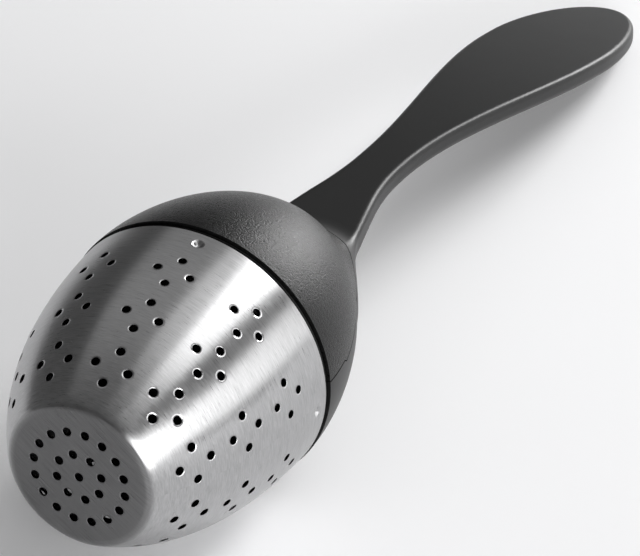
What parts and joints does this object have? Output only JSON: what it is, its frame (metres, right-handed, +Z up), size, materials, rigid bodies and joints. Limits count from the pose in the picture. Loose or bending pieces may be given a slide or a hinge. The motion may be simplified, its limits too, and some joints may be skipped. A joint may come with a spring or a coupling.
{
  "type": "tea infuser",
  "caption": "Egg-shaped tea infuser with a perforated steel cup, a plastic dome top and a long flat handle; the cup turns and pulls off to be filled.",
  "frame": {"origin": "centre of the bounding box's underside; the infuser lies on its back, resting on the dome and on the back of the handle's tip", "axes": "+X along the egg's axis from the cup's base to the handle's tip, +Z up, which is the front of the handle and dome"},
  "size_m": [0.232, 0.058, 0.058],
  "materials": {
    "steel": "satin brushed round the cup, straight brushed on the base",
    "grained_plastic": "fine moulded grain",
    "smooth_plastic": "smooth matte",
    "black_plastic": "plain moulded",
    "silicone": "soft matte"
  },
  "bodies": {
    "top": {"dome_front_shell": "grained_plastic", "handle_body": "smooth_plastic", "bayonet_collar": "black_plastic", "collar_cover": "black_plastic"},
    "seal": {"seal_ring": "silicone"},
    "cup": {"infuser_cup": "steel"}
  },
  "joints": [
    {"name": "cup_twist", "type": "hinge", "parent": "top", "child": "seal", "pos_m": [-0.0685, 0, 0.029], "axis": [1, 0, 0], "range_deg": [0, 30]},
    {"name": "cup_pull", "type": "slide", "parent": "seal", "child": "cup", "axis": [-1, 0, 0], "range_m": [0, 0.06]}
  ]
}
